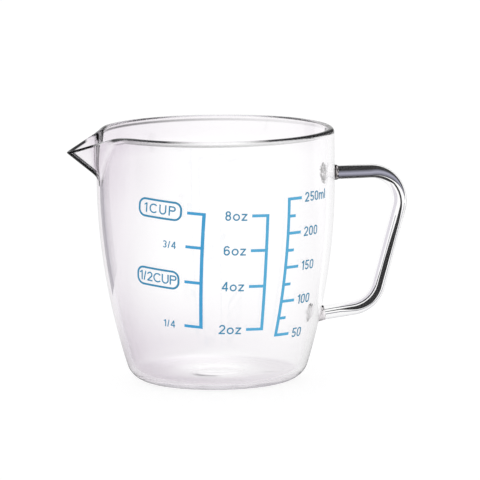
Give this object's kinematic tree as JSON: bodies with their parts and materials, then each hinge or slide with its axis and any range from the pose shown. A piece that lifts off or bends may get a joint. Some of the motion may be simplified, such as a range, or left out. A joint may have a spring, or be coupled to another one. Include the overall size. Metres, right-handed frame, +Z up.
{
  "type": "glass measuring jug",
  "caption": "Small clear glass measuring jug: round tapering body, pulled beak at the rim, bent glass rod handle on melted seals, and blue cup, ounce and millilitre scales.",
  "frame": {"origin": "centre of the round foot, on the table plane", "axes": "+Z up along the axis of the body, the beak points along -X, the handle along +X, the scales face -Y"},
  "size_m": [0.1197, 0.082, 0.087],
  "materials": {
    "body_glass": "clear, fire polished",
    "handle_glass": "clear, fire polished",
    "seal_glass": "clear, melted, with a faint swirl",
    "blue_enamel": "fired screen print, slightly glossy"
  },
  "bodies": {
    "root": {"vessel": "body_glass", "handle": "handle_glass", "upper_weld": "seal_glass", "lower_weld": "seal_glass", "cup_scale": "blue_enamel", "cup_frames": "blue_enamel", "cup_figures": "blue_enamel", "ounce_scale": "blue_enamel", "ounce_figures": "blue_enamel", "millilitre_scale": "blue_enamel", "millilitre_figures": "blue_enamel"}
  },
  "joints": []
}
